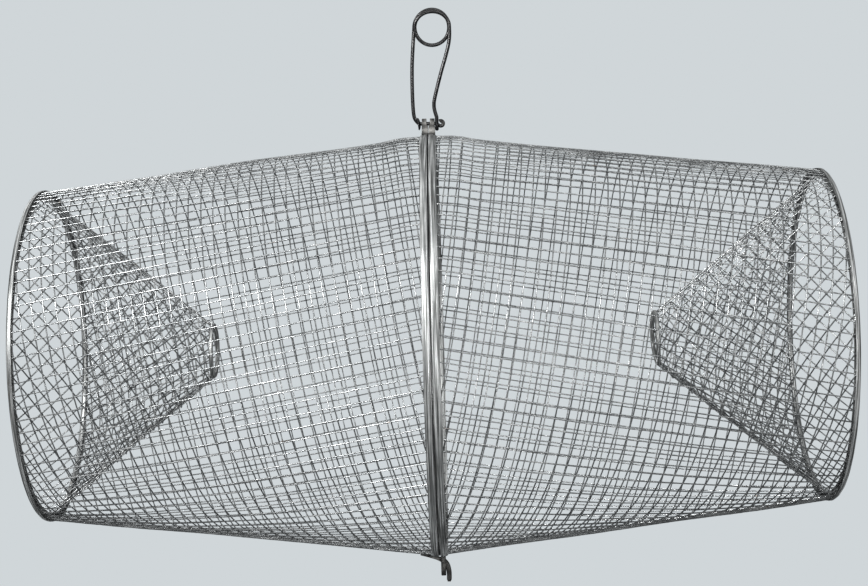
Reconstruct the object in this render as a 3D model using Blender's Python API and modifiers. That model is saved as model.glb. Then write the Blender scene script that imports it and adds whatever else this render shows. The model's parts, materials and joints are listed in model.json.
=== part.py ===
"""Two-piece torpedo wire trap: two wire-mesh baskets hooked together below and clipped above.

Each half is a tapered basket of welded mesh, closed at its small end by an inward funnel. The
halves meet rim to rim at the middle. A tongue on the left half hooks through a loop on the right
half, which makes a hinge at the bottom. At the top a sprung wire clip has its pin through an ear
on each rim, and the line is tied through the clip's coil, so the whole trap hangs from the coil.

Metres, +Z up. The origin is the centre of the clip's coil, +X runs along the trap to the right.
"""
import math

import bmesh
import bpy
from mathutils import Matrix, Vector

MM = 0.001

# Trap body, measured along the trap from the seam and out from its long axis.
SEAM_X = -3.4 * MM              # the plane where the halves meet, left of the coil's centre
AXIS_Z = -174.1 * MM            # the trap's long axis, below the coil's centre
HALF_LENGTH = 211.5 * MM        # seam plane to the outer face of an end rim
SEAM_MESH_RADIUS = 113.0 * MM   # middle of the mesh at the seam
END_MESH_RADIUS = 88.5 * MM     # middle of the mesh at the small end
MESH_THICKNESS = 1.4 * MM       # two layers of crossing wire
GAP = 0.3 * MM                  # clearance between pieces that touch

# Folded sheet rims.
SHEET = 0.5 * MM
SEAM_HALF_GAP = 0.3 * MM        # half of the slit between the two centre rims
SEAM_RIM_DEPTH = 3.9 * MM
END_RIM_DEPTH = 2.5 * MM
FOLD_RADIUS = 0.4 * MM
RING_STEPS = 48
THROAT_STEPS = 24

# Entrance funnel.
THROAT_PLANE = 119.4 * MM       # seam plane to the inner end of the throat ring
THROAT_RING_DEPTH = 2.0 * MM
THROAT_MESH_RADIUS = 13.4 * MM
COLLAR = 0.6 * MM               # straight mesh that shows past a rim before the cone starts

# Spring clip.
WIRE_RADIUS = 1.02 * MM
COIL_RADIUS = 9.65 * MM         # middle of the wire
COIL_TURNS = 1.5
COIL_HALF_WIDTH = 1.7 * MM      # middle of the wire at each end of the coil, along Y
PIN_Z = -53.1 * MM
PIN_END_X = 3.4 * MM
PIN_HOOK_RADIUS = 1.4 * MM
FOOT_X = 1.3 * MM
FOOT_RADIUS = 2.35 * MM
FOOT_DROP = 0.6 * MM             # the pin dips this far where the foot hooks under it
LEG_GAP = 0.35 * MM             # cut between the coil and the sprung leg
LEG_START_DEG = 6.0             # where the coil ends, above its right-hand side

# Latch ears.
EAR_THICKNESS = 2.4 * MM
EAR_OFFSET = 2.1 * MM           # seam plane to the middle of an ear
EAR_HEAD_RADIUS = 3.1 * MM
EAR_HOLE_RADIUS = 1.45 * MM
EAR_HALF_BASE = 4.0 * MM
EAR_FOOT_HEIGHT = 1.0 * MM

# Bottom hook: a tongue on the left half passes through a loop on the right half.
HOOK_PIVOT_X = SEAM_X + 1.0 * MM
HOOK_PIVOT_DROP = 5.0 * MM      # below the rims
TONGUE_ROOT = 1.1 * MM           # thickness under the basket, and where it hangs
TONGUE_TIP = 2.5 * MM
TONGUE_WIDTH = 3.2 * MM
LOOP_THICKNESS = 2.4 * MM
LOOP_STRIP = 1.4 * MM
LOOP_HALF_SPAN = 3.5 * MM       # middle of the strip
LOOP_DROP = 10.2 * MM
LOOP_CORNER = 2.4 * MM
LOOP_OFFSET = 1.6 * MM          # seam plane to the middle of the loop

RIM_OUTER_RADIUS = SEAM_MESH_RADIUS + MESH_THICKNESS / 2 + GAP + SHEET
RIM_TOP_Z = AXIS_Z + RIM_OUTER_RADIUS
RIM_BOTTOM_Z = AXIS_Z - RIM_OUTER_RADIUS
TAPER = (SEAM_MESH_RADIUS - END_MESH_RADIUS) / HALF_LENGTH
WALL_OFFSET = MESH_THICKNESS / 2 + GAP + SHEET / 2   # middle of the mesh to middle of a rim wall
END_FUNNEL_RADIUS = END_MESH_RADIUS - MESH_THICKNESS - GAP


# ---------------------------------------------------------------- scene helpers

def clear_scene():
    for obj in list(bpy.data.objects):
        bpy.data.objects.remove(obj, do_unlink=True)


def new_collection(name):
    collection = bpy.data.collections.new(name)
    bpy.context.scene.collection.children.link(collection)
    return collection


def make_material(name, colour, roughness, metallic):
    material = bpy.data.materials.new(name)
    material.use_nodes = True
    shader = material.node_tree.nodes["Principled BSDF"]
    shader.inputs["Base Color"].default_value = (*colour, 1.0)
    shader.inputs["Roughness"].default_value = roughness
    shader.inputs["Metallic"].default_value = metallic
    return material


def add_object(name, data, collection, material):
    obj = bpy.data.objects.new(name, data)
    collection.objects.link(obj)
    data.materials.append(material)
    return obj


def add_pivot(name, location, collection):
    """An empty on a joint's axis, which the moving pieces hang on."""
    pivot = bpy.data.objects.new(name, None)
    pivot.empty_display_size = 0.01
    pivot.matrix_world = Matrix.Translation(location)
    collection.objects.link(pivot)
    return pivot


def hang_on(pivot, pieces):
    """Parent pieces to a pivot and leave them where they are."""
    for piece in pieces:
        world = piece.matrix_basis.copy()
        piece.parent = pivot
        piece.matrix_parent_inverse = pivot.matrix_basis.inverted()
        piece.matrix_basis = world


# ---------------------------------------------------------------- outlines

def round_corners(points, radius, steps=3):
    """Replace each inner corner of an open path by a short curve."""
    result = [Vector(points[0])]
    for before, corner, after in zip(points, points[1:], points[2:]):
        corner = Vector(corner)
        start = corner + (Vector(before) - corner).normalized() * radius
        end = corner + (Vector(after) - corner).normalized() * radius
        for step in range(steps + 1):
            t = step / steps
            result.append(start * (1 - t) ** 2 + corner * 2 * t * (1 - t) + end * t ** 2)
    result.append(Vector(points[-1]))
    return result


def strip_outline(path, thickness, end_thickness=None):
    """The closed outline of a strip that follows an open path. It may widen towards its end."""
    path = [Vector(p) for p in path]
    growth = (end_thickness or thickness) - thickness
    left, right = [], []
    for i, point in enumerate(path):
        back = (point - path[i - 1]).normalized() if i else None
        ahead = (path[i + 1] - point).normalized() if i + 1 < len(path) else None
        back, ahead = back or ahead, ahead or back
        normal = Vector((-(back.y + ahead.y), back.x + ahead.x)).normalized()
        here = thickness + growth * i / (len(path) - 1)
        reach = here / 2 / normal.dot(Vector((-ahead.y, ahead.x)))
        left.append(point + normal * reach)
        right.append(point - normal * reach)
    return left + right[::-1]


def arc(centre, radius, start_deg, end_deg, steps):
    """Points on an arc in a plane, both ends included."""
    points = []
    for step in range(steps + 1):
        angle = math.radians(start_deg + (end_deg - start_deg) * step / steps)
        offset = Vector((math.cos(angle), math.sin(angle))) * radius
        points.append(Vector(centre) + offset)
    return points


def smooth_path(points, per_span=4):
    """A Catmull-Rom curve through the points."""
    points = [Vector(p) for p in points]
    padded = [points[0] * 2 - points[1], *points, points[-1] * 2 - points[-2]]
    result = []
    for a, b, c, d in zip(padded, padded[1:], padded[2:], padded[3:]):
        for step in range(per_span):
            t = step / per_span
            result.append(
                (b * 2 + (c - a) * t + (a * 2 - b * 5 + c * 4 - d) * t ** 2
                 + (b * 3 - a - c * 3 + d) * t ** 3) / 2
            )
    return result + [points[-1]]


# ---------------------------------------------------------------- solids

def half_matrix(side):
    """Turns a ring made about local Z to lie about the trap's axis, outwards from the seam."""
    turn = Matrix.Rotation(math.radians(90 * side), 4, "Y")
    return Matrix.Translation((SEAM_X, 0, AXIS_Z)) @ turn


def turned_ring(name, outline, side, collection, material, steps=RING_STEPS):
    """A body of revolution. The outline holds (distance from the seam, radius) pairs."""
    profile = [(radius, axial) for axial, radius in outline]
    area = sum(a[0] * b[1] - b[0] * a[1] for a, b in zip(profile, profile[1:] + profile[:1]))
    if area > 0:
        profile.reverse()
    bm = bmesh.new()
    corners = [bm.verts.new((radius, 0, axial)) for radius, axial in profile]
    for a, b in zip(corners, corners[1:] + corners[:1]):
        bm.edges.new((a, b))
    mesh = bpy.data.meshes.new(name)
    bm.to_mesh(mesh)
    bm.free()
    ring = add_object(name, mesh, collection, material)
    ring.matrix_basis = half_matrix(side)
    screw = ring.modifiers.new("Turn", "SCREW")
    screw.axis = "Z"
    screw.angle = math.tau
    screw.steps = steps
    screw.render_steps = steps
    screw.use_merge_vertices = True
    screw.merge_threshold = 0.00001
    screw.use_smooth_shade = True
    return ring


def wire(name, points, collection, material):
    """A round wire with flat ends along a path."""
    curve = bpy.data.curves.new(name, "CURVE")
    curve.dimensions = "3D"
    curve.bevel_depth = WIRE_RADIUS
    curve.bevel_resolution = 2
    curve.use_fill_caps = True
    spline = curve.splines.new("POLY")
    spline.points.add(len(points) - 1)
    for knot, point in zip(spline.points, points):
        knot.co = (*point, 1.0)
    return add_object(name, curve, collection, material)


def flat_plate(name, outlines, thickness, matrix, collection, material):
    """A plate cut to an outline. Any further outlines are holes in it."""
    curve = bpy.data.curves.new(name, "CURVE")
    curve.dimensions = "2D"
    curve.fill_mode = "BOTH"
    curve.extrude = thickness / 2
    for outline in outlines:
        spline = curve.splines.new("POLY")
        spline.points.add(len(outline) - 1)
        for knot, point in zip(spline.points, outline):
            knot.co = (point[0], point[1], 0.0, 1.0)
        spline.use_cyclic_u = True
    plate = add_object(name, curve, collection, material)
    plate.matrix_basis = matrix
    return plate


# ---------------------------------------------------------------- pieces of a half

def mesh_radius(axial):
    return SEAM_MESH_RADIUS - TAPER * axial


def body_mesh(prefix, side, collection, material):
    start = SEAM_HALF_GAP + SHEET + GAP
    end = HALF_LENGTH - SHEET - GAP
    path = [(start, mesh_radius(start)), (end, mesh_radius(end))]
    outline = strip_outline(path, MESH_THICKNESS)
    return turned_ring(prefix + "_body_mesh", outline, side, collection, material)


def funnel_mesh(prefix, side, collection, material):
    start = HALF_LENGTH - SHEET - GAP
    cone_top = HALF_LENGTH - END_RIM_DEPTH - COLLAR - GAP
    cone_tip = THROAT_PLANE + THROAT_RING_DEPTH + COLLAR
    end = THROAT_PLANE + SHEET + GAP
    path = [
        (start, END_FUNNEL_RADIUS),
        (cone_top, END_FUNNEL_RADIUS),
        (cone_tip, THROAT_MESH_RADIUS),
        (end, THROAT_MESH_RADIUS),
    ]
    outline = strip_outline(path, MESH_THICKNESS)
    return turned_ring(prefix + "_funnel_mesh", outline, side, collection, material)


def folded_band(name, path, side, collection, material, steps=RING_STEPS):
    """A sheet band folded to a channel, which grips the edge of the mesh."""
    outline = strip_outline(round_corners(path, FOLD_RADIUS, 1), SHEET)
    return turned_ring(name, outline, side, collection, material, steps)


def centre_rim(prefix, side, collection, material):
    back = SEAM_HALF_GAP + SHEET / 2
    lip = SEAM_HALF_GAP + SEAM_RIM_DEPTH
    path = [
        (lip, mesh_radius(lip) + WALL_OFFSET),
        (back, mesh_radius(back) + WALL_OFFSET),
        (back, mesh_radius(back) - WALL_OFFSET),
        (lip, mesh_radius(lip) - WALL_OFFSET),
    ]
    return folded_band(prefix + "_centre_rim", path, side, collection, material)


def end_rim(prefix, side, collection, material):
    back = HALF_LENGTH - SHEET / 2
    lip = HALF_LENGTH - END_RIM_DEPTH
    inner = END_FUNNEL_RADIUS - WALL_OFFSET
    path = [
        (lip, mesh_radius(lip) + WALL_OFFSET),
        (back, mesh_radius(back) + WALL_OFFSET),
        (back, inner),
        (lip, inner),
    ]
    return folded_band(prefix + "_end_rim", path, side, collection, material)


def throat_ring(prefix, side, collection, material):
    back = THROAT_PLANE + SHEET / 2
    lip = THROAT_PLANE + THROAT_RING_DEPTH
    path = [
        (lip, THROAT_MESH_RADIUS + WALL_OFFSET),
        (back, THROAT_MESH_RADIUS + WALL_OFFSET),
        (back, THROAT_MESH_RADIUS - WALL_OFFSET),
        (lip, THROAT_MESH_RADIUS - WALL_OFFSET),
    ]
    name = prefix + "_throat_ring"
    return folded_band(name, path, side, collection, material, THROAT_STEPS)


def cross_section_matrix(location):
    """Stands a flat outline up across the trap: its X along world Y, its Y along world Z."""
    stand = Matrix.Rotation(math.radians(90), 4, "Z") @ Matrix.Rotation(math.radians(90), 4, "X")
    return Matrix.Translation(location) @ stand


def latch_ear(prefix, side, collection, material):
    base = RIM_TOP_Z + GAP - PIN_Z
    outline = [(-EAR_HALF_BASE, base), (EAR_HALF_BASE, base)]
    outline.append((EAR_HALF_BASE, base + EAR_FOOT_HEIGHT))
    outline += arc((0, 0), EAR_HEAD_RADIUS, -15, 195, 14)
    outline.append((-EAR_HALF_BASE, base + EAR_FOOT_HEIGHT))
    hole = arc((0, 0), EAR_HOLE_RADIUS, 0, 345, 23)
    place = cross_section_matrix((SEAM_X + side * EAR_OFFSET, 0, PIN_Z))
    name = prefix + "_latch_ear"
    return flat_plate(name, [outline, hole], EAR_THICKNESS, place, collection, material)


def hook_tongue(collection, material):
    """A strap under the left rim, which crosses under the seam and hangs through the loop."""
    route = [
        (-10.3 * MM, 1.15 * MM),
        (-7.2 * MM, 0.35 * MM),
        (-4.0 * MM, -0.8 * MM),
        (-1.2 * MM, -1.85 * MM),
        (0.8 * MM, -2.5 * MM),
        (2.7 * MM, -3.6 * MM),
        (3.9 * MM, -5.6 * MM),
        (4.5 * MM, -8.6 * MM),
        (4.5 * MM, -14.2 * MM),
    ]
    outline = strip_outline(smooth_path(route, 2), TONGUE_ROOT, TONGUE_TIP)
    stand = Matrix.Rotation(math.radians(90), 4, "X")
    place = Matrix.Translation((SEAM_X, 0, RIM_BOTTOM_Z - GAP)) @ stand
    return flat_plate("left_hook_tongue", [outline], TONGUE_WIDTH, place, collection, material)


def hook_loop(collection, material):
    """A U of folded strip under the right rim."""
    path = [
        (-LOOP_HALF_SPAN, -GAP),
        (-LOOP_HALF_SPAN, -LOOP_DROP),
        (LOOP_HALF_SPAN, -LOOP_DROP),
        (LOOP_HALF_SPAN, -GAP),
    ]
    outline = strip_outline(round_corners(path, LOOP_CORNER, 4), LOOP_STRIP)
    place = cross_section_matrix((SEAM_X + LOOP_OFFSET, 0, RIM_BOTTOM_Z))
    return flat_plate("right_hook_loop", [outline], LOOP_THICKNESS, place, collection, material)


# ---------------------------------------------------------------- clip

def coil_point(turn_deg):
    """A point on the coil, by the angle run from its left side over the top."""
    angle = math.radians(180 - turn_deg)
    y = COIL_HALF_WIDTH * (1 - 2 * turn_deg / (360 * COIL_TURNS))
    return Vector((COIL_RADIUS * math.cos(angle), y, COIL_RADIUS * math.sin(angle)))


def clip_wire(collection, material):
    """The coil, the left leg and the pin through both ears, with a hook at the pin's end."""
    whole = round(360 * COIL_TURNS - LEG_START_DEG)
    steps = 34
    coil = [coil_point(whole * step / steps) for step in range(steps, 0, -1)]
    leg = smooth_path([
        coil_point(0),
        (-10.3 * MM, 1.6 * MM, -6.0 * MM),
        (-11.35 * MM, 1.2 * MM, -20.0 * MM),
        (-11.65 * MM, 0.7 * MM, -33.0 * MM),
        (-11.5 * MM, 0.2 * MM, -43.5 * MM),
        (-11.05 * MM, 0.0, -48.9 * MM),
        (-10.0 * MM, 0.0, -51.3 * MM),
        (-8.5 * MM, 0.0, -52.8 * MM),
        (-6.9 * MM, 0.0, PIN_Z),
    ], 3)
    hook = arc((PIN_END_X, PIN_Z), PIN_HOOK_RADIUS, -110, 115, 11)
    pin = [Vector((0.2 * MM, 0.0, PIN_Z))] + [Vector((x, 0.0, z)) for x, z in hook]
    return wire("clip_wire", coil + leg + pin, collection, material)


def spring_leg_start():
    cut = LEG_START_DEG - math.degrees(LEG_GAP / COIL_RADIUS)
    return coil_point(360 * COIL_TURNS - cut)


def clip_spring_leg(collection, material):
    """The sprung leg: its foot passes in front of the pin and hooks under it."""
    leg = smooth_path([
        spring_leg_start(),
        (9.6 * MM, -1.8 * MM, -4.5 * MM),
        (8.95 * MM, -1.9 * MM, -9.8 * MM),
        (7.15 * MM, -2.1 * MM, -16.6 * MM),
        (4.1 * MM, -2.2 * MM, -26.4 * MM),
        (0.6 * MM, -2.3 * MM, -39.3 * MM),
        (0.05 * MM, -2.3 * MM, -43.6 * MM),
        (0.4 * MM, -FOOT_RADIUS, -46.6 * MM),
        (FOOT_X, -FOOT_RADIUS, -49.8 * MM),
    ], 3)
    foot = arc((0, PIN_Z - FOOT_DROP), FOOT_RADIUS, 180, 280, 8)
    points = leg + [Vector((FOOT_X, y, z)) for y, z in foot]
    return wire("clip_spring_leg", points, collection, material)


# ---------------------------------------------------------------- assembly

def build_half(prefix, side, collection, mesh_steel, band_steel):
    return [
        body_mesh(prefix, side, collection, mesh_steel),
        funnel_mesh(prefix, side, collection, mesh_steel),
        centre_rim(prefix, side, collection, band_steel),
        end_rim(prefix, side, collection, band_steel),
        throat_ring(prefix, side, collection, band_steel),
        latch_ear(prefix, side, collection, band_steel),
    ]


def main():
    clear_scene()
    trap = new_collection("torpedo_trap")
    mesh_steel = make_material("galvanised_mesh", (0.42, 0.44, 0.44), 0.38, 0.9)
    band_steel = make_material("galvanised_band", (0.40, 0.42, 0.42), 0.42, 0.9)
    spring_steel = make_material("spring_wire", (0.03, 0.03, 0.03), 0.35, 0.8)

    clip_wire(trap, spring_steel)
    leg_pivot = add_pivot("spring_leg_pivot", spring_leg_start(), trap)
    hang_on(leg_pivot, [clip_spring_leg(trap, spring_steel)])

    left = build_half("left", -1, trap, mesh_steel, band_steel)
    left.append(hook_tongue(trap, band_steel))
    pin_pivot = add_pivot("pin_pivot", (SEAM_X, 0, PIN_Z), trap)
    hang_on(pin_pivot, left)

    right = build_half("right", 1, trap, mesh_steel, band_steel)
    right.append(hook_loop(trap, band_steel))
    hook_place = (HOOK_PIVOT_X, 0, RIM_BOTTOM_Z - HOOK_PIVOT_DROP)
    hook_pivot = add_pivot("hook_pivot", hook_place, trap)
    hang_on(hook_pivot, right)


main()
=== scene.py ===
"""The looks of the two-piece torpedo wire trap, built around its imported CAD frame.

Both baskets are real wire here. Each sheet of welded mesh is laid out flat, as it is before it is
rolled, and its wires are then carried onto the cone. Folded sheet rims, the strip ears, the bottom
hook and the sprung clip are swept or turned from their own sections.

Metres, +Z up, +X along the trap. Lengths are measured from the seam where the two halves meet, and
an azimuth is measured from the top of the trap towards the viewer, who is at -Y.
"""

import json
import math
from dataclasses import dataclass

import bpy
import numpy as np
from mathutils import Matrix, Vector

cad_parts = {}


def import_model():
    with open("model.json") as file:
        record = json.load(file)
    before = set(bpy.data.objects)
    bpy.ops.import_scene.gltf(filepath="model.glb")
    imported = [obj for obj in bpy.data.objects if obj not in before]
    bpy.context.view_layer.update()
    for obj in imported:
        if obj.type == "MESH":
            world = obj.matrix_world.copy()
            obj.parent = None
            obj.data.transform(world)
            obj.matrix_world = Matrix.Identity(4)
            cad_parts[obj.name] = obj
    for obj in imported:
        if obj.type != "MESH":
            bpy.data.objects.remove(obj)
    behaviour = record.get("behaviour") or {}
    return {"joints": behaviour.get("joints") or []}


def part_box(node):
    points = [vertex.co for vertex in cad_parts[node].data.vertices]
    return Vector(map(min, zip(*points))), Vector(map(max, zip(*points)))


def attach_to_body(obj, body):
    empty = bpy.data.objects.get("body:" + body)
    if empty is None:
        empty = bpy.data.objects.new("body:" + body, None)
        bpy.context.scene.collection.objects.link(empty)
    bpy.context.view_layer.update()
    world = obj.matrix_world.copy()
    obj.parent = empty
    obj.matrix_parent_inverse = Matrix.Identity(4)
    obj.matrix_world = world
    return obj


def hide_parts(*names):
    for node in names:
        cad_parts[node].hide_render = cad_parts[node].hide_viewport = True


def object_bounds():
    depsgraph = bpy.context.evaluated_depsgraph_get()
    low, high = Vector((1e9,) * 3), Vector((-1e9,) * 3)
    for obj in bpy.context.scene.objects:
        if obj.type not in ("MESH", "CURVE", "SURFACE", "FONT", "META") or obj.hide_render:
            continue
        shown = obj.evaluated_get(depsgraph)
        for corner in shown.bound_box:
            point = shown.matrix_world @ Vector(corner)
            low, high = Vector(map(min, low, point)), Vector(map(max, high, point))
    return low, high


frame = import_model()
cad_box = [list(corner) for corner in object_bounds()]

MM = 0.001
SIDES = {"left": -1, "right": 1}

# ---------------------------------------------------------------- sizes taken from the frame

LEFT_RIM_LOW, LEFT_RIM_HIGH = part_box("left_centre_rim")
RIGHT_RIM_LOW, RIGHT_RIM_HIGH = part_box("right_centre_rim")
SEAM_X = (LEFT_RIM_HIGH.x + RIGHT_RIM_LOW.x) / 2
SEAM_HALF_GAP = (RIGHT_RIM_LOW.x - LEFT_RIM_HIGH.x) / 2
AXIS_Z = (LEFT_RIM_LOW.z + LEFT_RIM_HIGH.z) / 2
RIM_RADIUS = (LEFT_RIM_HIGH.z - LEFT_RIM_LOW.z) / 2
RIM_TOP_Z = LEFT_RIM_HIGH.z
RIM_BOTTOM_Z = LEFT_RIM_LOW.z
SEAM_RIM_DEPTH = RIGHT_RIM_HIGH.x - RIGHT_RIM_LOW.x

END_LOW, END_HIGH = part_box("right_end_rim")
HALF_LENGTH = END_HIGH.x - SEAM_X
END_RIM_DEPTH = END_HIGH.x - END_LOW.x

THROAT_LOW, THROAT_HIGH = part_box("right_throat_ring")
THROAT_PLANE = THROAT_LOW.x - SEAM_X
THROAT_DEPTH = THROAT_HIGH.x - THROAT_LOW.x
THROAT_RADIUS = (THROAT_HIGH.z - THROAT_LOW.z) / 2

PIN_JOINT = next(joint for joint in frame["joints"] if joint["name"] == "basket_swing")
PIN_Z = PIN_JOINT["pos_m"][2]

# ---------------------------------------------------------------- driving sizes

MESH_PITCH = 6.35 * MM
MESH_WIRE = 0.345 * MM          # radius, with its zinc
ZINC_KNOT = 1.14                # how much thicker a wire is where the zinc fills a crossing
KNOT_REACH = 0.16               # of the pitch
CLOSEST_RINGS = 0.2 * MM        # along a wire
WEAVE_LIFT = MESH_WIRE * 0.96   # middle of the mesh to the middle of its outer or inner wires
WIRE_SIDES = 6
WIRE_WANDER = 0.16 * MM         # how far a wire strays from its straight line
WANDER_LENGTH = 31 * MM
SHORTEST_WIRE = 3 * MM          # shorter ends are cut off the sheet
BODY_DENTS = 0.55 * MM
FUNNEL_DENTS = 0.5 * MM
SEAM_BULGE = 0.9 * MM           # how far the mesh swells beside the centre rim, at the top
BULGE_PLACE = 15 * MM
BULGE_WIDTH = 8 * MM
LAP = 14 * MM                   # how far the mesh overlaps itself at the bottom
LAP_RUN = 18 * MM               # where an edge of the sheet starts to rise over the other
LAP_RISE = 0.55                 # of the mesh's thickness, up for one edge and down for the other

SHEET = 0.5 * MM
RIM_SLIT = 0.06 * MM            # between the round backs of the centre rims
MESH_THICKNESS = 1.4 * MM
WALL = MESH_THICKNESS / 2 + 0.3 * MM + SHEET / 2      # middle of the mesh to middle of a rim wall
SEAM_MESH_RADIUS = RIM_RADIUS - WALL - SHEET / 2 + 0.04 * MM
END_MESH_RADIUS = 88.5 * MM
TAPER = (SEAM_MESH_RADIUS - END_MESH_RADIUS) / HALF_LENGTH
FUNNEL_TOP_RADIUS = END_MESH_RADIUS - 1.7 * MM
THROAT_MESH_RADIUS = THROAT_RADIUS - WALL - SHEET / 2

CLIP_WIRE = 1.02 * MM           # radius
CLIP_WIRE_SIDES = 20
WIRE_END = 0.72                 # share of the radius left at a rounded end of the spring wire
BURIED_WIRE = 0.97              # and where the leg lies inside the coil's end
COIL_TURNS = 1.5
COIL_HALF_WIDTH = 1.7 * MM
COIL_RADII = (9.75, 9.95, 9.4, 10.0, 9.35, 8.35, 9.6)      # mm, at each quarter turn

WASHER_GAP = 5.0 * MM           # from the seam to the keeper washer
WASHER_STEPS = 48


# ---------------------------------------------------------------- small helpers

def unit(vectors):
    return vectors / np.linalg.norm(vectors, axis=-1, keepdims=True)


def smooth_step(t):
    t = np.clip(t, 0, 1)
    return t * t * (3 - 2 * t)


def smooth_path(points, per_span):
    """A Catmull-Rom curve through the points."""
    points = np.array([tuple(p) for p in points], float)
    padded = np.vstack([2 * points[0] - points[1], points, 2 * points[-1] - points[-2]])
    result = []
    for a, b, c, d in zip(padded, padded[1:], padded[2:], padded[3:]):
        for step in range(per_span):
            t = step / per_span
            result.append(
                (b * 2 + (c - a) * t + (a * 2 - b * 5 + c * 4 - d) * t ** 2
                 + (b * 3 - a - c * 3 + d) * t ** 3) / 2
            )
    return np.array(result + [points[-1]])


def arc(centre, radius, start_deg, end_deg, steps):
    angles = np.radians(np.linspace(start_deg, end_deg, steps + 1))
    return np.array(centre) + radius * np.column_stack([np.cos(angles), np.sin(angles)])


def round_section(sides):
    angles = np.arange(sides) * math.tau / sides
    return np.column_stack([np.cos(angles), np.sin(angles)])


def strip_section(width, thickness, corner, steps=3):
    """A rounded rectangle: the first number runs across the strip, the second through it."""
    points = []
    for i, (sx, sy) in enumerate(((1, 1), (-1, 1), (-1, -1), (1, -1))):
        centre = (sx * (width / 2 - corner), sy * (thickness / 2 - corner))
        points.append(arc(centre, corner, 90 * i, 90 * i + 90, steps))
    return np.vstack(points)


# ---------------------------------------------------------------- mesh building

class Shape:
    """Collects swept and turned surfaces, and makes one object of them."""

    def __init__(self):
        self.points = []
        self.faces = []
        self.uvs = []
        self.count = 0

    def loft(self, rings, closed=False, uv=None):
        """Joins rings of points, an array (rings, points in a ring, 3), into a skin."""
        rows, columns = rings.shape[:2]
        index = self.count + np.arange(rows * columns).reshape(rows, columns)
        last = rows if closed else rows - 1
        for i in range(last):
            here, there = index[i], index[(i + 1) % rows]
            quads = np.column_stack([here, np.roll(here, -1), np.roll(there, -1), there])
            self.faces.extend(quads.tolist())
            if uv is not None:
                self.uvs.extend(self.quad_uvs(uv, i, columns))
        if not closed:
            self.faces.append(index[0][::-1].tolist())
            self.faces.append(index[-1].tolist())
        self.points.append(rings.reshape(-1, 3))
        self.count += rows * columns

    @staticmethod
    def quad_uvs(uv, row, columns):
        """The layout of one row of faces: uv holds the places of the rows and of the columns."""
        along, across = uv
        result = []
        for j in range(columns):
            result += [
                (along[row], across[j]),
                (along[row], across[j + 1]),
                (along[row + 1], across[j + 1]),
                (along[row + 1], across[j]),
            ]
        return result

    def sweep(self, path, sideways, section, scale=None):
        """Carries a section along a path. sideways points along the section's first number.

        scale is one number for each point of the path, or two: across and through the section.
        """
        tangent = unit(np.gradient(path, axis=0))
        through = unit(np.cross(tangent, sideways))
        sideways = np.cross(through, tangent)
        scale = np.ones(len(path)) if scale is None else np.asarray(scale)
        if scale.ndim == 1:
            scale = np.column_stack([scale, scale])
        across = section[None, :, 0, None] * sideways[:, None, :] * scale[:, 0, None, None]
        upward = section[None, :, 1, None] * through[:, None, :] * scale[:, 1, None, None]
        self.loft(path[:, None, :] + across + upward)

    def finish(self, name, material, uv_name=None):
        """Makes the object. With uv_name, the layout given to loft is kept under that name."""
        mesh = bpy.data.meshes.new(name)
        mesh.from_pydata(np.vstack(self.points).tolist(), [], self.faces)
        mesh.polygons.foreach_set("use_smooth", [True] * len(mesh.polygons))
        if uv_name:
            layer = mesh.uv_layers.new(name=uv_name)
            layer.data.foreach_set("uv", np.array(self.uvs, np.float32).ravel())
        mesh.update()
        piece = bpy.data.objects.new(name, mesh)
        bpy.context.scene.collection.objects.link(piece)
        piece.data.materials.append(material)
        return piece


def carry(path):
    """A sideways direction that turns as little as it can along a path."""
    tangent = unit(np.gradient(path, axis=0))
    start = np.cross(tangent[0], (0.0, 1.0, 0.2))
    side = start / np.linalg.norm(start)
    result = []
    for direction in tangent:
        side = side - direction * side.dot(direction)
        side = side / np.linalg.norm(side)
        result.append(side)
    return np.array(result)


def soften(piece, angle_deg=35):
    """Smooth shading that keeps corners sharper than this angle."""
    piece.data.set_sharp_from_angle(angle=math.radians(angle_deg))


def attach(piece, body, slot, *nodes):
    """The piece rides on its body and stands for the CAD nodes."""
    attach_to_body(piece, body)
    if nodes:
        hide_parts(*nodes)
    return piece


# ---------------------------------------------------------------- cones of mesh

@dataclass
class Cone:
    """A rolled sheet of mesh. Its tip is apex from the seam, and it opens away from the tip."""
    side: int
    apex: float
    opening: int
    half_angle: float
    nearest: float          # distance from the tip along the cone, to both edges
    farthest: float
    turn: float             # how far the grid is turned from the top of the cone, in radians
    lap: float

    def layout_half(self):
        """Half of the flat sector that the cone rolls out to, without its lap."""
        return math.pi * math.sin(self.half_angle)

    def place(self, along, flat_angle, lift):
        """Carries points of the flat sheet onto the cone, and gives the outward direction."""
        sine, cosine = math.sin(self.half_angle), math.cos(self.half_angle)
        azimuth = flat_angle / sine
        axial = self.apex + self.opening * along * cosine
        edge = (np.abs(flat_angle) - self.layout_half()) * along
        rise = smooth_step((edge + LAP_RUN) / (LAP_RUN + self.lap / 2))
        lift = lift + np.sign(flat_angle) * rise * MESH_THICKNESS * LAP_RISE
        lift = lift + unevenness(self, axial, azimuth)
        radius = along * sine + lift * cosine
        axial = axial - self.opening * lift * sine
        return (
            on_trap(self.side, axial, radius, azimuth),
            direction(self.side, -self.opening * sine, cosine, azimuth),
        )

    def inside(self, across, down):
        """Which points of the flat sheet the sector keeps."""
        along = np.hypot(across, down)
        limit = self.layout_half() + self.lap / 2 / np.maximum(along, 1e-6)
        angle = np.arctan2(down, across)
        return (along >= self.nearest) & (along <= self.farthest) & (np.abs(angle) <= limit)


def on_trap(side, axial, radius, azimuth):
    """World points from the distance to the seam, the radius and the azimuth."""
    return np.column_stack([
        SEAM_X + side * axial,
        -radius * np.sin(azimuth),
        AXIS_Z + radius * np.cos(azimuth),
    ])


def direction(side, axial, radial, azimuth):
    ones = np.ones_like(azimuth)
    return np.column_stack([
        side * axial * ones,
        -radial * np.sin(azimuth),
        radial * np.cos(azimuth),
    ])


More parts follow.
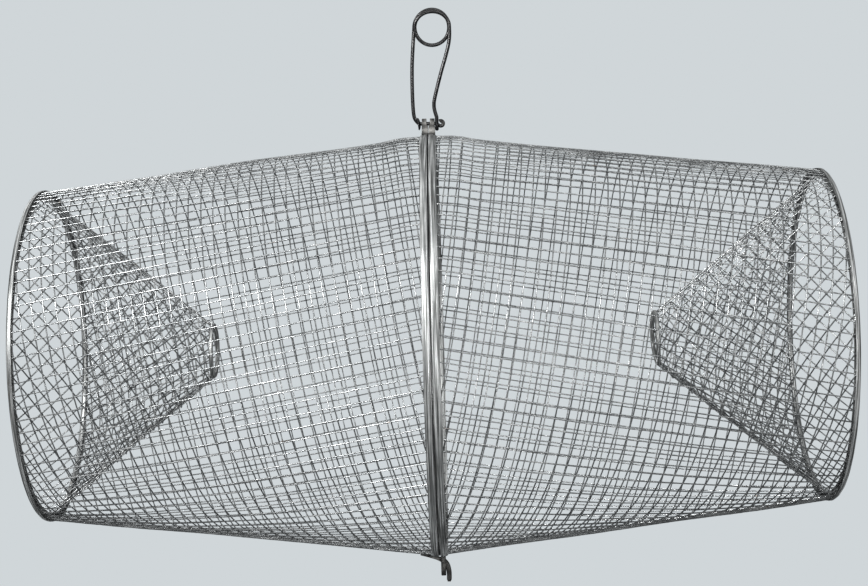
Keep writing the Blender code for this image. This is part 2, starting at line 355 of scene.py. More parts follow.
def unevenness(cone, axial, azimuth):
    """Slow dents of a hand-rolled mesh, nothing at the rims, and the basket's bulge at the seam."""
    if cone.opening > 0:
        share = (axial - THROAT_PLANE) / (HALF_LENGTH - THROAT_PLANE)
        size, bulge = FUNNEL_DENTS, 0
    else:
        share = axial / HALF_LENGTH
        size = BODY_DENTS
        offset = (axial - BULGE_PLACE) / BULGE_WIDTH
        bulge = SEAM_BULGE * np.exp(-offset ** 2) * (0.5 + 0.5 * np.cos(azimuth))
    window = np.sqrt(np.clip(np.sin(math.pi * np.clip(share, 0, 1)), 0, 1))
    phase = 1.1 * cone.side
    wave = np.sin(3 * azimuth + phase + 5 * share) + 0.6 * np.sin(5 * azimuth - 9 * share + phase)
    return bulge + size * window * (0.6 * wave + 0.3 * np.sin(11 * azimuth + 14 * share))


def wire_runs(cone, level, running_along_grid):
    """The stretches of one straight grid wire that lie inside the flat sector."""
    step = 0.25 * MM
    t = np.arange(-cone.farthest - step, cone.farthest + step, step)
    kept = cone.inside(*turned(cone, level, t, running_along_grid))
    edges = np.flatnonzero(np.diff(kept.astype(int)))
    return [(t[a + 1], t[b]) for a, b in zip(edges[::2], edges[1::2])]


def turned(cone, level, t, running_along_grid):
    """Flat sheet coordinates of a wire at a level of the grid, at distances t along it."""
    level = np.broadcast_to(level, t.shape)
    g, h = (t, level) if running_along_grid else (level, t)
    c, s = math.cos(cone.turn), math.sin(cone.turn)
    return g * c - h * s, g * s + h * c


def knots(start, end):
    """Places along a wire, with three at each crossing for the zinc, and the wire's thickness."""
    first, last = math.ceil(start / MESH_PITCH), math.floor(end / MESH_PITCH)
    places, sizes = [start], [1.0]
    for k in range(first, last + 1):
        for offset, size in ((-KNOT_REACH, 1.0), (0, ZINC_KNOT), (KNOT_REACH, 1.0)):
            place = (k + offset) * MESH_PITCH
            if places[-1] + CLOSEST_RINGS < place < end - CLOSEST_RINGS:
                places.append(place)
                sizes.append(size)
    return np.array(places + [end]), np.array(sizes + [1.0])


def mesh_wires(cone, running_along_grid, lift):
    """One family of parallel wires of the mesh, on the outside or the inside of the other."""
    shape = Shape()
    section = round_section(WIRE_SIDES) * MESH_WIRE
    reach = math.ceil(cone.farthest / MESH_PITCH)
    for k in range(-reach, reach + 1):
        for start, end in wire_runs(cone, k * MESH_PITCH, running_along_grid):
            if end - start < SHORTEST_WIRE:
                continue
            t, sizes = knots(start, end)
            level = k * MESH_PITCH + WIRE_WANDER * np.sin(t / WANDER_LENGTH + 2.3 * k)
            across, down = turned(cone, level, t, running_along_grid)
            path, outward = cone.place(np.hypot(across, down), np.arctan2(down, across), lift)
            shape.sweep(path, outward, section, sizes)
    return shape


def body_cone(side):
    """The basket's wall. Its edges lie inside the centre rim and the end rim."""
    half_angle = math.atan(TAPER)
    sine = math.sin(half_angle)
    start, end = 1.1 * MM, HALF_LENGTH - 0.8 * MM
    return Cone(
        side=side,
        apex=SEAM_MESH_RADIUS / TAPER,
        opening=-1,
        half_angle=half_angle,
        nearest=(SEAM_MESH_RADIUS - TAPER * end) / sine,
        farthest=(SEAM_MESH_RADIUS - TAPER * start) / sine,
        turn=0.0,
        lap=LAP,
    )


def funnel_cone(side):
    """The entrance funnel, from inside the end rim to inside the throat ring."""
    top = HALF_LENGTH - 1.0 * MM
    tip = THROAT_PLANE + THROAT_DEPTH * 0.5
    half_angle = math.atan2(FUNNEL_TOP_RADIUS - THROAT_MESH_RADIUS, top - tip)
    sine = math.sin(half_angle)
    return Cone(
        side=side,
        apex=tip - THROAT_MESH_RADIUS / math.tan(half_angle),
        opening=1,
        half_angle=half_angle,
        nearest=THROAT_MESH_RADIUS / sine,
        farthest=FUNNEL_TOP_RADIUS / sine,
        turn=math.radians(8.8),
        lap=LAP * 0.7,
    )


# ---------------------------------------------------------------- folded rims

def strip_outline(path, thickness):
    """The closed outline of a strip of even thickness that follows an open flat path."""
    tangent = unit(np.gradient(path, axis=0))
    normal = np.column_stack([-tangent[:, 1], tangent[:, 0]])
    return np.vstack([path + normal * thickness / 2, (path - normal * thickness / 2)[::-1]])


def band(outline, side, steps, wobble):
    """Turns a closed outline of (distance from the seam, radius) about the trap's axis."""
    shape = Shape()
    azimuths = np.arange(steps) * math.tau / steps
    rings = []
    for azimuth in azimuths:
        radial, axial = wobble(azimuth)
        full = np.full(len(outline), azimuth)
        rings.append(on_trap(side, outline[:, 0] + axial, outline[:, 1] + radial, full))
    rings = np.array(rings)
    if side > 0:
        rings = rings[:, ::-1]
    mean = outline[:, 1].mean()
    lengths = np.linalg.norm(np.diff(np.vstack([outline, outline[:1]]), axis=0), axis=1)
    across = np.concatenate([[0], np.cumsum(lengths)])
    along = np.arange(steps + 1) * math.tau / steps * mean
    shape.loft(rings, closed=True, uv=(along, across))
    return shape


def mesh_radius(axial):
    return SEAM_MESH_RADIUS - TAPER * axial


def centre_rim(side):
    """A band folded over the mesh's edge, with a round back and its lips pressed in."""
    back = RIM_SLIT / 2 + SHEET / 2
    lip = SEAM_HALF_GAP + SEAM_RIM_DEPTH - 0.1 * MM
    walls = [
        (lip, 0.78), (lip - 0.7 * MM, 0.98), (back + 1.35 * MM, 1.03), (back + 0.45 * MM, 0.86),
        (back + 0.05 * MM, 0.45), (back, 0.0),
    ]
    outer = [(a, mesh_radius(a) + WALL * share) for a, share in walls]
    inner = [(a, mesh_radius(a) - WALL * share) for a, share in walls[-2::-1]]
    outline = strip_outline(smooth_path(outer + inner, 3), SHEET)

    def wobble(azimuth):
        crimp = 0.05 * math.sin(46 * azimuth + side) + 0.03 * math.sin(17 * azimuth)
        return crimp * MM, 0.01 * MM * (1 + math.sin(5 * azimuth + side))
    return band(outline, side, 192, wobble)


def end_rim(side):
    """A band rolled over the edges of the basket and the funnel, with a groove between them."""
    face = HALF_LENGTH - SHEET / 2
    lip = HALF_LENGTH - END_RIM_DEPTH
    outer, inner = mesh_radius(HALF_LENGTH) + WALL, FUNNEL_TOP_RADIUS - WALL
    middle = (outer + inner) / 2
    path = [
        (lip, outer + 0.05 * MM), (lip + 0.6 * MM, outer + 0.1 * MM),
        (face - 0.7 * MM, outer + 0.02 * MM), (face - 0.15 * MM, outer - 0.45 * MM),
        (face, outer - 1.1 * MM), (face - 0.08 * MM, middle + 0.5 * MM),
        (face - 0.5 * MM, middle + 0.1 * MM), (face - 0.5 * MM, middle - 0.1 * MM),
        (face - 0.08 * MM, middle - 0.5 * MM), (face, inner + 1.1 * MM),
        (face - 0.15 * MM, inner + 0.45 * MM), (face - 0.7 * MM, inner - 0.02 * MM),
        (lip + 0.5 * MM, inner - 0.1 * MM), (lip, inner + 0.1 * MM),
    ]
    outline = strip_outline(smooth_path(path, 2), SHEET)

    def wobble(azimuth):
        crimp = 0.07 * math.sin(38 * azimuth + side) + 0.05 * math.sin(13 * azimuth)
        return crimp * MM, -0.04 * MM * (1 + math.sin(4 * azimuth + side))
    return band(outline, side, 176, wobble)


def throat_ring(side):
    """The narrow fold round the funnel's small end. The right one was bent by hand and leans."""
    back = THROAT_PLANE + SHEET / 2
    lip = THROAT_PLANE + THROAT_DEPTH
    walls = [
        (lip, 0.8), (lip - 0.5 * MM, 1.0), (back + 0.4 * MM, 1.0), (back + 0.05 * MM, 0.6), (back, 0),
    ]
    outer = [(a, THROAT_MESH_RADIUS + WALL * share) for a, share in walls]
    inner = [(a, THROAT_MESH_RADIUS - WALL * share) for a, share in walls[-2::-1]]
    outline = strip_outline(smooth_path(outer + inner, 3), SHEET)
    bent = 0.5 if side > 0 else 0.2

    def wobble(azimuth):
        radial = bent * (math.sin(3 * azimuth + 0.7) + 0.6 * math.sin(7 * azimuth + 2))
        lean = bent * (0.6 * math.sin(2 * azimuth + 1) - math.cos(azimuth))
        return radial * MM, lean * MM
    return band(outline, side, 120, wobble)


# ---------------------------------------------------------------- ears and bottom hook

EAR_STRIP = 0.95 * MM           # thickness
EAR_WIDTH = 3 * MM              # of the section, before it is scaled to the edges below
EAR_EYE = 2.35 * MM             # pin to the middle of the strip
EAR_LOW_EDGES = (0.12 * MM, 3.65 * MM)      # from the seam, where the strip leaves the rim
EAR_EYE_EDGES = (0.95 * MM, 3.45 * MM)      # and where it wraps the pin
EAR_FOOT = 17 * MM              # how far the strip lies along the rim, each way


def strip_along(path, across, section, scale=None):
    """A strip that follows the path and keeps one direction across it."""
    shape = Shape()
    shape.sweep(path, np.tile(across, (len(path), 1)), section, scale)
    return shape


def foot_share(y):
    """How thick the strip is, as a share of the whole. It is forged thin towards its ends."""
    return np.clip((EAR_FOOT + 0.3 * MM - np.abs(y)) / (5 * MM), 0.06, 1)


def ear(side):
    """A strip that lies on the rim, rises, wraps the pin and comes back down, like a hinge eye."""
    base = RIM_TOP_Z - PIN_Z + EAR_STRIP / 2
    foot = []
    for y in np.linspace(-EAR_FOOT, -4.4 * MM, 7):
        lying = RIM_RADIUS - 0.12 * MM + EAR_STRIP / 2 * float(foot_share(y))
        foot.append((y, AXIS_Z - PIN_Z + math.sqrt(lying ** 2 - y ** 2)))
    leg = [
        *foot,
        (-2.8 * MM, base + 0.1 * MM),
        (-1.9 * MM, base + 0.75 * MM),
        (-1.4 * MM, base + 1.8 * MM),
        (-1.2 * MM, -3.0 * MM),
    ]
    wrap = arc((0, 0), EAR_EYE, 228, -48, 9)
    mirrored = [(-y, z) for y, z in leg[::-1]]
    flat = smooth_path([*leg, *wrap, *mirrored], 4)
    eye_share = smooth_step((flat[:, 1] + 2.0 * MM) / (1.4 * MM))[:, None]
    edges = np.array(EAR_LOW_EDGES) * (1 - eye_share) + np.array(EAR_EYE_EDGES) * eye_share
    x = SEAM_X + side * edges.mean(axis=1)
    widths = edges[:, 1] - edges[:, 0]
    path = np.column_stack([x, flat[:, 0], flat[:, 1] + PIN_Z])
    scale = np.column_stack([widths / EAR_WIDTH, foot_share(flat[:, 0])])
    return strip_along(path, (1.0, 0.0, 0.0), strip_section(EAR_WIDTH, EAR_STRIP, 0.22 * MM), scale)


def hook_tongue():
    """A strap under the left rim, which crosses under the seam and hangs through the loop."""
    start_z = RIM_BOTTOM_Z - 0.3 * MM
    route = [
        (-10.6 * MM, 1.3 * MM),
        (-7.2 * MM, 0.35 * MM),
        (-4.0 * MM, -0.65 * MM),
        (-1.2 * MM, -1.4 * MM),
        (0.8 * MM, -2.1 * MM),
        (2.7 * MM, -3.5 * MM),
        (3.9 * MM, -5.6 * MM),
        (4.5 * MM, -8.6 * MM),
        (4.55 * MM, -11.5 * MM),
        (4.4 * MM, -13.9 * MM),
    ]
    flat = smooth_path(route, 6)
    path = np.column_stack([SEAM_X + flat[:, 0], np.zeros(len(flat)), start_z + flat[:, 1]])
    share = np.linspace(0, 1, len(path))
    thick = 1.15 + 1.5 * smooth_step((share - 0.2) / 0.3)
    end = 1 - 0.35 * smooth_step((share - 0.93) / 0.07)
    widths = (1.45 - 0.4 * smooth_step(share / 0.4)) * end
    section = strip_section(3.3 * MM, 1 * MM, 0.3 * MM, 4)
    return strip_along(path, (0.0, 1.0, 0.0), section, np.column_stack([widths, thick * end]))


def hook_loop():
    """A strip folded to a U under the right rim, which the tongue hangs in."""
    half_span, drop, corner = 3.5 * MM, 10.2 * MM, 2.4 * MM
    down = [
        (-half_span - 1.6 * MM, 0.35 * MM),
        (-half_span, -0.6 * MM),
        (-half_span, -4 * MM),
        (-half_span, -drop + corner),
    ]
    bend = arc((-half_span + corner, -drop + corner), corner, 190, 260, 4)
    left = [*down, *bend]
    flat = smooth_path([*left, (0, -drop), *[(-y, z) for y, z in left[::-1]]], 4)
    x = np.full(len(flat), SEAM_X + 1.6 * MM)
    path = np.column_stack([x, flat[:, 0], RIM_BOTTOM_Z + flat[:, 1]])
    return strip_along(path, (1.0, 0.0, 0.0), strip_section(2.6 * MM, 1.35 * MM, 0.45 * MM))


# ---------------------------------------------------------------- clip

def coil_point(turn_deg):
    """A point on the coil. The second pass over the top lies inside the first."""
    angle = math.radians(180 - turn_deg)
    y = COIL_HALF_WIDTH * (1 - 2 * turn_deg / (360 * COIL_TURNS))
    quarter = min(int(turn_deg // 90), len(COIL_RADII) - 2)
    share = float(smooth_step(turn_deg / 90 - quarter))
    radius = (COIL_RADII[quarter] * (1 - share) + COIL_RADII[quarter + 1] * share) * MM
    return (radius * math.cos(angle), y, radius * math.sin(angle))


def end_steps(path):
    """Adds a short step before each end of the spring wire, so that the ends can be rounded."""
    def step(end, inner):
        return end + (inner - end) * min(1, 0.3 * CLIP_WIRE / np.linalg.norm(inner - end))
    first, last = step(path[0], path[1]), step(path[-1], path[-2])
    return np.vstack([path[:1], first, path[1:-1], last, path[-1:]])


def spring_wire(path, rounded_ends, buried=0):
    """The round spring wire along a path. Its first rings may be buried in the coil."""
    path = end_steps(path)
    scale = np.ones(len(path))
    scale[:buried] = BURIED_WIRE
    scale[rounded_ends] = WIRE_END
    shape = Shape()
    shape.sweep(path, carry(path), round_section(CLIP_WIRE_SIDES) * CLIP_WIRE, scale)
    return shape


def clip_wire():
    """The coil, the left leg and the pin through both ears, with a hook at the pin's end."""
    whole = 360 * COIL_TURNS - 2
    coil = [coil_point(angle) for angle in np.arange(whole, 0, -6)]
    leg = smooth_path([
        coil_point(0),
        (-10.3 * MM, 1.6 * MM, -6.0 * MM),
        (-11.35 * MM, 1.2 * MM, -20.0 * MM),
        (-11.65 * MM, 0.7 * MM, -33.0 * MM),
        (-11.5 * MM, 0.2 * MM, -43.5 * MM),
        (-11.05 * MM, 0.0, -48.9 * MM),
        (-10.0 * MM, 0.0, -51.3 * MM),
        (-8.5 * MM, 0.0, -52.8 * MM),
        (-6.9 * MM, 0.0, PIN_Z),
        (-3.0 * MM, 0.0, PIN_Z),
        (0.2 * MM, 0.0, PIN_Z),
        (1.5 * MM, 0.0, PIN_Z - 0.55 * MM),
    ], 8)
    hook = arc((3.4 * MM, PIN_Z), 1.4 * MM, -110, 122, 22)
    pin = [(x, 0.0, z) for x, z in hook]
    return spring_wire(np.vstack([coil, leg, pin]), [0, -1])


def sprung_leg():
    """The sprung leg, from inside the coil's end to the foot that hooks under the pin."""
    start = [coil_point(360 * COIL_TURNS - angle) for angle in (14, 10, 5)]
    leg = smooth_path([
        *start,
        (9.6 * MM, -1.8 * MM, -4.5 * MM),
        (8.95 * MM, -1.9 * MM, -9.8 * MM),
        (7.15 * MM, -2.1 * MM, -16.6 * MM),
        (4.1 * MM, -2.2 * MM, -26.4 * MM),
        (0.6 * MM, -2.3 * MM, -39.3 * MM),
        (0.05 * MM, -2.3 * MM, -43.6 * MM),
        (0.4 * MM, -2.35 * MM, -46.6 * MM),
        (1.3 * MM, -2.35 * MM, -49.8 * MM),
    ], 8)
    foot = arc((0, PIN_Z - 0.6 * MM), 2.35 * MM, 180, 290, 12)
    path = np.vstack([leg, [(1.3 * MM, y, z) for y, z in foot]])
    return spring_wire(path, [-1], buried=18)


def keeper_washer():
    """A dished washer on the pin beside the left ear. It leans a little."""
    outline = np.array([
        (0.05, 1.15), (-0.2, 2.2), (-0.75, 3.15), (-0.62, 3.4), (-0.1, 3.35), (0.5, 2.3), (0.75, 1.15),
    ]) * MM
    lean = math.tan(math.radians(6))
    rings = []
    for angle in np.arange(WASHER_STEPS) * math.tau / WASHER_STEPS:
        y, z = np.sin(angle) * outline[:, 1], np.cos(angle) * outline[:, 1]
        rings.append(np.column_stack([SEAM_X - WASHER_GAP + outline[:, 0] - lean * z, y, PIN_Z + z]))
    shape = Shape()
    shape.loft(np.array(rings), closed=True)
    return shape


# ---------------------------------------------------------------- materials

def new_material(name):
    material = bpy.data.materials.new(name)
    material.use_nodes = True
    nodes, links = material.node_tree.nodes, material.node_tree.links
    return material, nodes, links, nodes["Principled BSDF"]


def add_noise(nodes, links, vector, scale, detail=3.0, roughness=0.55):
    noise = nodes.new("ShaderNodeTexNoise")
    noise.inputs["Scale"].default_value = scale
    noise.inputs["Detail"].default_value = detail
    noise.inputs["Roughness"].default_value = roughness
    links.new(vector, noise.inputs["Vector"])
    return noise.outputs["Fac"]


def add_ramp(nodes, links, value, stops):
    ramp = nodes.new("ShaderNodeValToRGB")
    elements = ramp.color_ramp.elements
    while len(elements) < len(stops):
        elements.new(0.5)
    for element, (position, colour) in zip(elements, stops):
        element.position = position
        element.color = (*colour, 1.0)
    links.new(value, ramp.inputs["Fac"])
    return ramp.outputs["Color"]


def add_range(nodes, links, value, low, high):
    """Spreads the middle half of a noise over a range of values."""
    mapping = nodes.new("ShaderNodeMapRange")
    mapping.inputs["From Min"].default_value = 0.25
    mapping.inputs["From Max"].default_value = 0.75
    mapping.inputs["To Min"].default_value = low
    mapping.inputs["To Max"].default_value = high
    links.new(value, mapping.inputs["Value"])
    return mapping.outputs["Result"]


def add_mix(nodes, links, factor, first, second, blend="MIX"):
    """Mixes two colours. A factor or a colour is a plain value or the output of a node."""
    mix = nodes.new("ShaderNodeMix")
    mix.data_type = "RGBA"
    mix.blend_type = blend
    if isinstance(factor, float):
        mix.inputs["Factor"].default_value = factor
    else:
        links.new(factor, mix.inputs["Factor"])
    for socket, value in ((mix.inputs["A"], first), (mix.inputs["B"], second)):
        if isinstance(value, tuple):
            socket.default_value = (*value, 1.0)
        else:
            links.new(value, socket)
    return mix.outputs["Result"]


def add_bump(nodes, links, height, strength, distance, shader):
    bump = nodes.new("ShaderNodeBump")
    bump.inputs["Strength"].default_value = strength
    bump.inputs["Distance"].default_value = distance
    links.new(height, bump.inputs["Height"])
    links.new(bump.outputs["Normal"], shader.inputs["Normal"])


def galvanised_wire():
    """Hot-dipped wire: grey zinc with small bright and dull crystals, and a few rusty specks."""
    material, nodes, links, shader = new_material("galvanised_wire")
    place = nodes.new("ShaderNodeTexCoord").outputs["Object"]
    crystals = nodes.new("ShaderNodeTexVoronoi")
    crystals.inputs["Scale"].default_value = 420.0
    links.new(place, crystals.inputs["Vector"])
    patches = add_noise(nodes, links, place, 75.0, 5.0, 0.65)
    grains = add_noise(nodes, links, place, 900.0, 4.0)
    zinc = add_ramp(nodes, links, patches, [
        (0.34, (0.17, 0.177, 0.18)), (0.50, (0.31, 0.321, 0.324)), (0.68, (0.52, 0.53, 0.53)),
    ])
    spangle = add_ramp(nodes, links, crystals.outputs["Color"], [(0.2, (0.78,) * 3), (0.8, (1.0,) * 3)])
    zinc = add_mix(nodes, links, 0.6, zinc, spangle, "MULTIPLY")
    specks = add_ramp(nodes, links, add_noise(nodes, links, place, 130.0, 5.0), [
        (0.70, (0.0,) * 3), (0.78, (1.0,) * 3),
    ])
    colour = add_mix(nodes, links, specks, zinc, (0.20, 0.13, 0.08))
    links.new(colour, shader.inputs["Base Color"])
    shader.inputs["Metallic"].default_value = 0.85
    links.new(add_range(nodes, links, grains, 0.22, 0.32), shader.inputs["Roughness"])
    add_bump(nodes, links, grains, 0.05, 0.0001, shader)
    return material


def seam_slit_painted_shade(nodes, links, place):
    """How much painted shade darkens the slit between the centre rims, by the distance from the seam.
    """
    split = nodes.new("ShaderNodeSeparateXYZ")
    links.new(place, split.inputs["Vector"])
    offset = nodes.new("ShaderNodeMath")
    offset.operation = "SUBTRACT"
    offset.inputs[1].default_value = SEAM_X
    links.new(split.outputs["X"], offset.inputs[0])
    distance = nodes.new("ShaderNodeMath")
    distance.operation = "ABSOLUTE"
    links.new(offset.outputs["Value"], distance.inputs[0])
    slit_shade_ramp = nodes.new("ShaderNodeMapRange")
    slit_shade_ramp.inputs["From Min"].default_value = 0.22 * MM
    slit_shade_ramp.inputs["From Max"].default_value = 0.6 * MM
    slit_shade_ramp.inputs["To Min"].default_value = 0.95
    slit_shade_ramp.inputs["To Max"].default_value = 0.0
    links.new(distance.outputs["Value"], slit_shade_ramp.inputs["Value"])
    return slit_shade_ramp.outputs["Result"]


def galvanised_sheet():
    """Galvanised strip: streaks left by the rolls, soft crystals, stains, and painted shade in the slit
    at the seam.
    """
    material, nodes, links, shader = new_material("galvanised_sheet")
    layout = nodes.new("ShaderNodeUVMap")
    layout.uv_map = "strip"
    stretch = nodes.new("ShaderNodeMapping")
    stretch.inputs["Scale"].default_value = (26.0, 1700.0, 1.0)
    links.new(layout.outputs["UV"], stretch.inputs["Vector"])
    streaks = add_noise(nodes, links, stretch.outputs["Vector"], 1.0, 4.0)
    place = nodes.new("ShaderNodeTexCoord").outputs["Object"]
    patches = add_noise(nodes, links, place, 60.0)
    crystals = nodes.new("ShaderNodeTexVoronoi")
    crystals.inputs["Scale"].default_value = 300.0
    links.new(place, crystals.inputs["Vector"])
    base = add_ramp(nodes, links, streaks, [
        (0.38, (0.085, 0.088, 0.086)), (0.50, (0.26, 0.268, 0.266)), (0.62, (0.72, 0.735, 0.73)),
    ])
    spangle = add_ramp(nodes, links, crystals.outputs["Color"], [(0.2, (0.8,) * 3), (0.8, (1.0,) * 3)])
    base = add_mix(nodes, links, 0.5, base, spangle, "MULTIPLY")
    stains = add_ramp(nodes, links, add_noise(nodes, links, place, 95.0, 5.0), [
        (0.66, (0.0,) * 3), (0.80, (1.0,) * 3),
    ])
    colour = add_mix(nodes, links, stains, base, (0.21, 0.17, 0.13))
    # Painted shade: near-black is mixed in along the slit between the centre rims, where the rims shade
    # each other.
    colour = add_mix(nodes, links, seam_slit_painted_shade(nodes, links, place), colour, (0.012, 0.012, 0.013))
    links.new(colour, shader.inputs["Base Color"])
    shader.inputs["Metallic"].default_value = 0.72
    links.new(add_range(nodes, links, patches, 0.32, 0.52), shader.inputs["Roughness"])
    add_bump(nodes, links, streaks, 0.3, 0.0002, shader)
    return material


def galvanised_hardware():
    """The ears, tongue and loop: the same strip, worked cold, so darker and more scuffed."""
    material, nodes, links, shader = new_material("galvanised_hardware")
    place = nodes.new("ShaderNodeTexCoord").outputs["Object"]
    scuffs = add_noise(nodes, links, place, 420.0, 6.0, 0.7)
    patches = add_noise(nodes, links, place, 150.0)
    base = add_ramp(nodes, links, patches, [
        (0.36, (0.028, 0.027, 0.026)), (0.50, (0.07, 0.069, 0.066)), (0.66, (0.22, 0.217, 0.208)),
    ])
    colour = add_mix(nodes, links, 0.35, base, scuffs, "OVERLAY")
    links.new(colour, shader.inputs["Base Color"])
    shader.inputs["Metallic"].default_value = 0.75
    links.new(add_range(nodes, links, scuffs, 0.42, 0.68), shader.inputs["Roughness"])
    add_bump(nodes, links, scuffs, 0.3, 0.0002, shader)
    return material


def spring_steel():
    """Oil-blackened spring wire with bright rubbed spots."""
    material, nodes, links, shader = new_material("spring_steel")
    place = nodes.new("ShaderNodeTexCoord").outputs["Object"]
    fine = add_noise(nodes, links, place, 700.0, 5.0, 0.65)
    broad = add_noise(nodes, links, place, 90.0)
    base = add_ramp(nodes, links, broad, [
        (0.35, (0.006, 0.006, 0.007)), (0.60, (0.016, 0.016, 0.016)), (0.74, (0.07, 0.068, 0.066)),
    ])
    links.new(base, shader.inputs["Base Color"])
    shader.inputs["Specular IOR Level"].default_value = 0.4
    links.new(add_range(nodes, links, fine, 0.14, 0.28), shader.inputs["Roughness"])
    add_bump(nodes, links, fine, 0.1, 0.0001, shader)
    return material


# ---------------------------------------------------------------- studio

CAMERA_PLACE = (SEAM_X + 13.67 * MM, -952.1 * MM, AXIS_Z - 0.45 * MM)
CAMERA_TURN = (0.0138, 0.0301, 0.0281)      # yaw, pitch and roll, in radians
CAMERA_LENS = 72.37                         # mm, on a sensor 36 mm wide
BACKDROP = (0.630, 0.672, 0.694)
FLOOR_RADIUS = 1.5
FLOOR_DROP = 0.25                           # below the lowest point of the trap


def camera():
    """Stands at the height of the trap's axis, 95 cm in front of it."""
    data = bpy.data.cameras.new("camera")
    data.sensor_width = 36.0
    data.lens = CAMERA_LENS
    data.clip_start = 0.02
    data.clip_end = 30.0
    yaw, pitch, roll = CAMERA_TURN
    aim = Matrix.Rotation(yaw, 4, "Z") @ Matrix.Rotation(pitch, 4, "X") @ Matrix.Rotation(roll, 4, "Y")
    stand = Matrix.Rotation(math.radians(90), 4, "X")
    obj = bpy.data.objects.new("camera", data)
    bpy.context.scene.collection.objects.link(obj)
    obj.matrix_world = Matrix.Translation(CAMERA_PLACE) @ aim @ stand
    bpy.context.scene.camera = obj


def area_light(name, location, target, size, power):
    """A white panel that faces its target. The camera does not see it."""
    data = bpy.data.lights.new(name, "AREA")
    data.shape = "RECTANGLE"
    data.size, data.size_y = size
    data.energy = power
    obj = bpy.data.objects.new(name, data)
    bpy.context.scene.collection.objects.link(obj)
    obj.location = location
    obj.rotation_euler = (Vector(target) - Vector(location)).to_track_quat("-Z", "Y").to_euler()
    obj.visible_camera = False


def world():
    """Pale where the camera looks, and a soft room with a brighter ceiling for reflections."""
    scene_world = bpy.data.worlds.new("studio")
    bpy.context.scene.world = scene_world
    scene_world.use_nodes = True
    nodes, links = scene_world.node_tree.nodes, scene_world.node_tree.links
    nodes.clear()
    direction_out = nodes.new("ShaderNodeTexCoord").outputs["Generated"]
    split = nodes.new("ShaderNodeSeparateXYZ")
    links.new(direction_out, split.inputs["Vector"])
    height = nodes.new("ShaderNodeMapRange")
    height.inputs["From Min"].default_value = -1.0
    links.new(split.outputs["Z"], height.inputs["Value"])
    room = add_ramp(nodes, links, height.outputs["Result"], [
        (0.0, (0.12, 0.125, 0.13)), (0.46, (0.07, 0.073, 0.075)), (0.62, (0.10, 0.104, 0.107)),
        (0.85, (0.34, 0.35, 0.355)),
    ])
    seen = nodes.new("ShaderNodeLightPath").outputs["Is Camera Ray"]
    colour = add_mix(nodes, links, seen, room, BACKDROP)
    background = nodes.new("ShaderNodeBackground")
    links.new(colour, background.inputs["Color"])
    output = nodes.new("ShaderNodeOutputWorld")
    links.new(background.outputs["Background"], output.inputs["Surface"])


def floor():
    """A pale disc well below the hanging trap, which fades out at its rim."""
    material, nodes, links, shader = new_material("pale_floor")
    shader.inputs["Base Color"].default_value = (0.78, 0.80, 0.81, 1.0)
    shader.inputs["Roughness"].default_value = 0.8
    place = nodes.new("ShaderNodeTexCoord").outputs["Object"]
    length = nodes.new("ShaderNodeVectorMath")
    length.operation = "LENGTH"
    links.new(place, length.inputs[0])
    fade = nodes.new("ShaderNodeMapRange")
    fade.interpolation_type = "SMOOTHSTEP"
    fade.inputs["From Min"].default_value = 0.5
    fade.inputs["From Max"].default_value = 1.45
    fade.inputs["To Min"].default_value = 1.0
    fade.inputs["To Max"].default_value = 0.0
    links.new(length.outputs["Value"], fade.inputs["Value"])
    links.new(fade.outputs["Result"], shader.inputs["Alpha"])
    mesh = bpy.data.meshes.new("floor")
    ring = arc((0, 0), FLOOR_RADIUS, 0, 360, 96)[:-1]
    mesh.from_pydata([(x, y, 0) for x, y in ring], [], [list(range(len(ring)))])
    obj = bpy.data.objects.new("floor", mesh)
    obj.location = (0, 0, cad_box[0][2] - FLOOR_DROP)
    bpy.context.scene.collection.objects.link(obj)
    mesh.materials.append(material)
    obj.visible_glossy = False


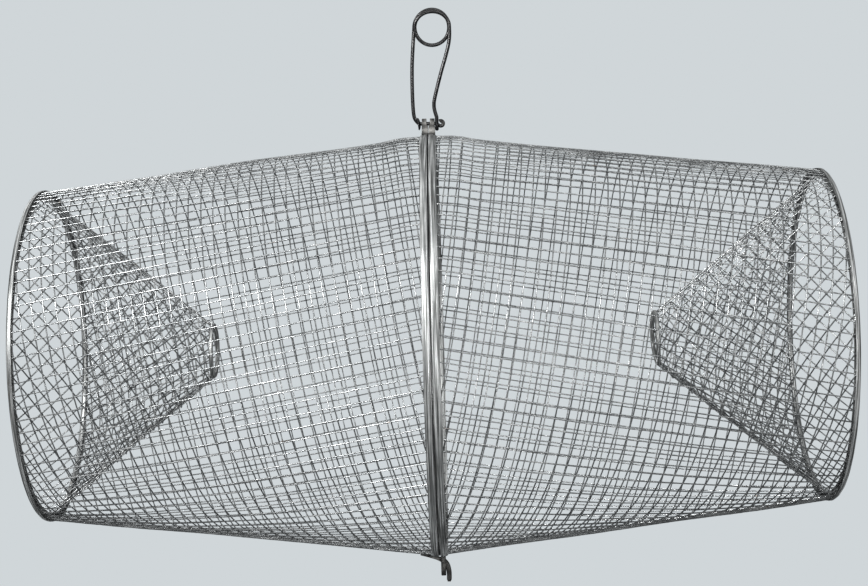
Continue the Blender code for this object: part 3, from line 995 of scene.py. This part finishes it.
def lights():
    """Most of the light comes from the left key. Each line gives place, target, size and power."""
    centre = (SEAM_X, 0, AXIS_Z)
    area_light("top_softbox", (-0.2, -0.25, 1.15), centre, (1.6, 0.4), 3)
    area_light("left_key", (-0.66, -1.1, 0.5), (-0.12, 0, AXIS_Z), (0.36, 0.3), 19)
    area_light("front_key", (0.0, -1.2, 0.55), centre, (0.24, 0.3), 2.5)
    area_light("right_fill", (0.66, -1.1, 0.5), (0.12, 0, AXIS_Z), (0.4, 0.3), 4)
    area_light("left_low", (-1.15, -1.15, 0.1), centre, (0.3, 0.7), 2)
    area_light("low_fill", (0.3, -1.45, -0.42), centre, (0.9, 0.2), 6)
    area_light("back_light", (-0.9, 1.2, 0.9), centre, (0.8, 0.4), 3)


# ---------------------------------------------------------------- assembly

def build_half(name, zinc_wire, zinc_sheet, hardware):
    side = SIDES[name]
    body = name + "_half"
    for cone, node in ((body_cone(side), "body_mesh"), (funnel_cone(side), "funnel_mesh")):
        for family, running, lift in (("line", True, WEAVE_LIFT), ("cross", False, -WEAVE_LIFT)):
            piece = mesh_wires(cone, running, lift).finish(f"{name}_{node}_{family}_wires", zinc_wire)
            attach(piece, body, "mesh_wire", f"{name}_{node}")
    for make, node in ((centre_rim, "centre_rim"), (end_rim, "end_rim"), (throat_ring, "throat_ring")):
        piece = make(side).finish(f"{name}_{node}_band", zinc_sheet, uv_name="strip")
        attach(piece, body, "sheet_band", f"{name}_{node}")
        soften(piece, 50)
    piece = ear(side).finish(f"{name}_ear_strip", hardware)
    attach(piece, body, "sheet_band", f"{name}_latch_ear")
    soften(piece, 40)


def build_hook(hardware):
    tongue = hook_tongue().finish("left_tongue_strip", hardware)
    attach(tongue, "left_half", "sheet_band", "left_hook_tongue")
    soften(tongue, 40)
    loop = hook_loop().finish("right_loop_strip", hardware)
    attach(loop, "right_half", "sheet_band", "right_hook_loop")
    soften(loop, 40)


def build_clip(steel):
    attach(clip_wire().finish("clip_coil_and_pin", steel), "clip", "spring_wire", "clip_wire")
    leg = sprung_leg().finish("clip_sprung_leg", steel)
    attach(leg, "spring_leg", "spring_wire", "clip_spring_leg")
    washer = keeper_washer().finish("clip_keeper_washer", steel)
    attach(washer, "clip", "spring_wire")
    soften(washer, 40)


def main():
    zinc_wire, zinc_sheet = galvanised_wire(), galvanised_sheet()
    hardware, steel = galvanised_hardware(), spring_steel()
    for name in SIDES:
        build_half(name, zinc_wire, zinc_sheet, hardware)
    build_hook(hardware)
    build_clip(steel)
    camera()
    world()
    floor()
    lights()
    bpy.context.scene.view_settings.view_transform = "Standard"


main()
